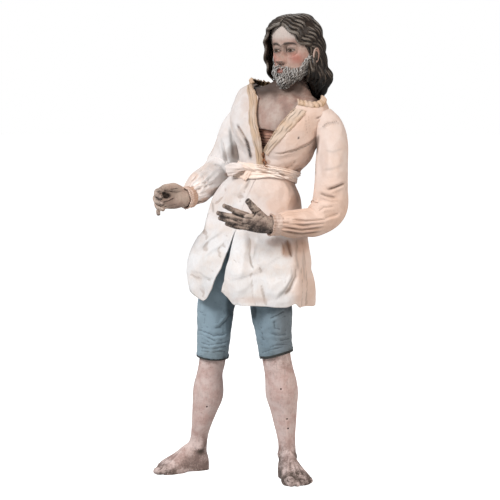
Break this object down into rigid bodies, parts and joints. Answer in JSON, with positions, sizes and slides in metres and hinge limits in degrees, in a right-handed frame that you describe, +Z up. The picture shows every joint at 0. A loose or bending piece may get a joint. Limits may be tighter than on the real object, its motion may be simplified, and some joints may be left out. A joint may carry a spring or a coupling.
{
  "type": "presepe figure",
  "caption": "Standing crib figure of a barefoot bearded man in a belted linen shirt and knee breeches, one hand half closed and the other held out.",
  "frame": {"origin": "on the floor, under the middle of the figure's bounding box", "axes": "+Z up, -Y towards the viewer, +X to the viewer's right; the figure is turned to its own right"},
  "size_m": [0.1632, 0.1308, 0.3924],
  "materials": {
    "painted_terracotta": "painted fired clay, satin with a dirty patina",
    "painted_wood": "carved and painted, worn, brown-grey in the hollows",
    "tow": "reddish brown fibre",
    "linen": "stiffened plain weave, matt",
    "trim": "folded bands and a gathered frill, matt",
    "sash_linen": "wound plain weave, matt",
    "breeches_cloth": "fine twill, matt and worn"
  },
  "bodies": {
    "root": {"head": "painted_terracotta", "trunk": "tow", "breeches": "breeches_cloth", "right_leg": "painted_wood", "left_leg": "painted_wood", "shirt": "linen", "right_lapel": "trim", "left_lapel": "trim", "collar": "trim", "right_sleeve": "linen", "left_sleeve": "linen", "right_cuff": "linen", "left_cuff": "linen", "right_hand": "painted_wood", "left_hand": "painted_wood", "sash": "sash_linen"}
  },
  "joints": []
}
